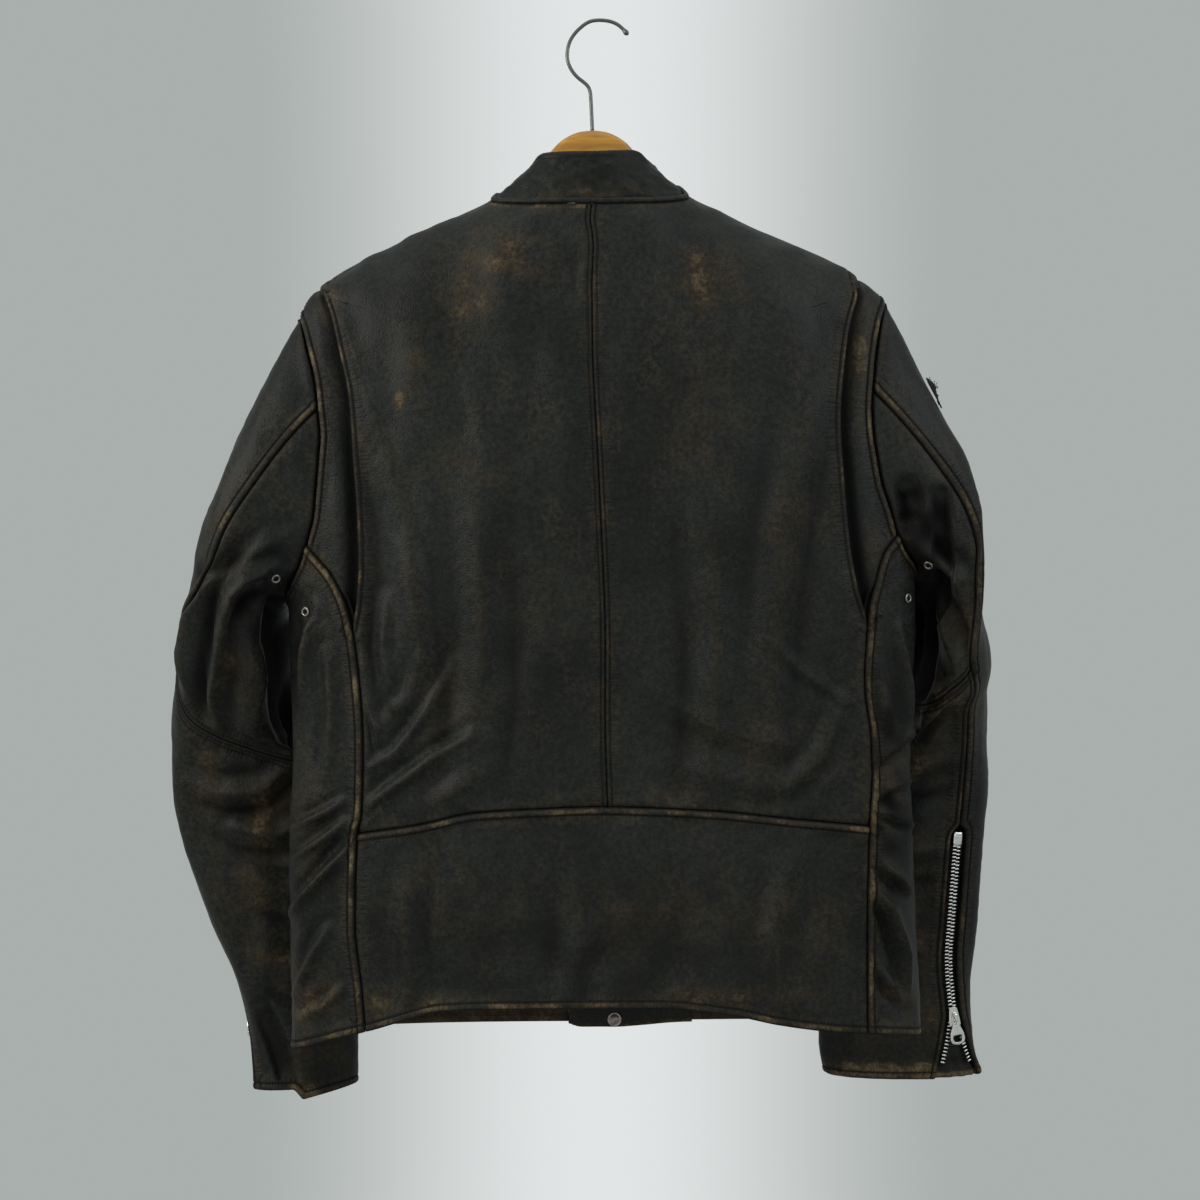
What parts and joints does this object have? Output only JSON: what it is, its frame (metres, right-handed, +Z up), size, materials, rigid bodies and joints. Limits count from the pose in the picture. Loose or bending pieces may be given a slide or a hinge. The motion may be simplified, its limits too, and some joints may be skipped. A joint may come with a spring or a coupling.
{
  "type": "worn leather jacket on a wooden hanger",
  "caption": "Hip-length leather jacket with stand collar, action-back pleats and zipped cuffs, hung open-necked on a wooden hanger by its wire hook.",
  "frame": {"origin": "inside the top of the hanger hook's bend, where the hook rests on a rail or ring", "axes": "+Z up, +X to the wearer's right, +Y the way the wearer faces; the back of the jacket faces -Y"},
  "size_m": [0.6925, 0.1823, 0.9013],
  "materials": {
    "leather": "black-brown leather rubbed to brown along its seams",
    "collar_leather": "black-brown leather rubbed brown at the nape",
    "facing": "matt brown leather",
    "gusset": "thin soft black leather",
    "zip_metal": "bright nickel",
    "snap": "dull dark metal",
    "hanger_wood": "satin varnish",
    "hook_wire": "bright"
  },
  "bodies": {
    "jacket": {"back_left": "leather", "back_right": "leather", "back_pleat_left": "leather", "back_pleat_right": "leather", "back_waist_panel": "leather", "side_panel_left": "leather", "side_panel_right": "leather", "front_left": "leather", "front_right": "leather", "front_hem_facing_left": "facing", "front_hem_facing_right": "facing", "front_hem_tab": "leather", "front_snap": "snap", "collar": "collar_leather", "collar_piping": "leather", "sleeve_top_left": "leather", "sleeve_top_right": "leather", "sleeve_under_upper_left": "leather", "sleeve_under_upper_right": "leather", "sleeve_under_lower_left": "leather", "sleeve_under_lower_right": "leather", "cuff_gusset_left": "gusset", "cuff_gusset_right": "gusset", "cuff_zip_inner_left": "zip_metal", "cuff_zip_outer_left": "zip_metal", "cuff_zip_inner_right": "zip_metal", "cuff_zip_outer_right": "zip_metal", "cuff_zip_left_slider": "zip_metal", "cuff_zip_right_slider": "zip_metal", "front_zip_left": "zip_metal", "front_zip_right": "zip_metal", "front_zip_slider": "zip_metal", "eyelet_side_left": "snap", "eyelet_side_right": "snap", "eyelet_sleeve_left": "snap", "eyelet_sleeve_right": "snap", "frayed_bit": "facing", "hanger_body": "hanger_wood", "hanger_hook": "hook_wire"},
    "cuff_pull_left": {"cuff_zip_left_pull": "zip_metal"},
    "cuff_pull_right": {"cuff_zip_right_pull": "zip_metal"},
    "front_pull": {"front_zip_pull": "zip_metal"}
  },
  "joints": [
    {"name": "cuff_pull_left_swing", "type": "hinge", "parent": "jacket", "child": "cuff_pull_left", "pos_m": [-0.30295, 0.08395, -0.83157], "axis": [0.3969, 0.9178, 0.0131], "range_deg": [0, 160]},
    {"name": "cuff_pull_right_swing", "type": "hinge", "parent": "jacket", "child": "cuff_pull_right", "pos_m": [0.30468, 0.05946, -0.83374], "axis": [-0.9617, -0.2329, -0.1445], "range_deg": [0, 160]},
    {"name": "front_pull_swing", "type": "hinge", "parent": "jacket", "child": "front_pull", "pos_m": [-0.00246, 0.05923, -0.25763], "axis": [1, 0, -0.0022], "range_deg": [0, 160]}
  ]
}
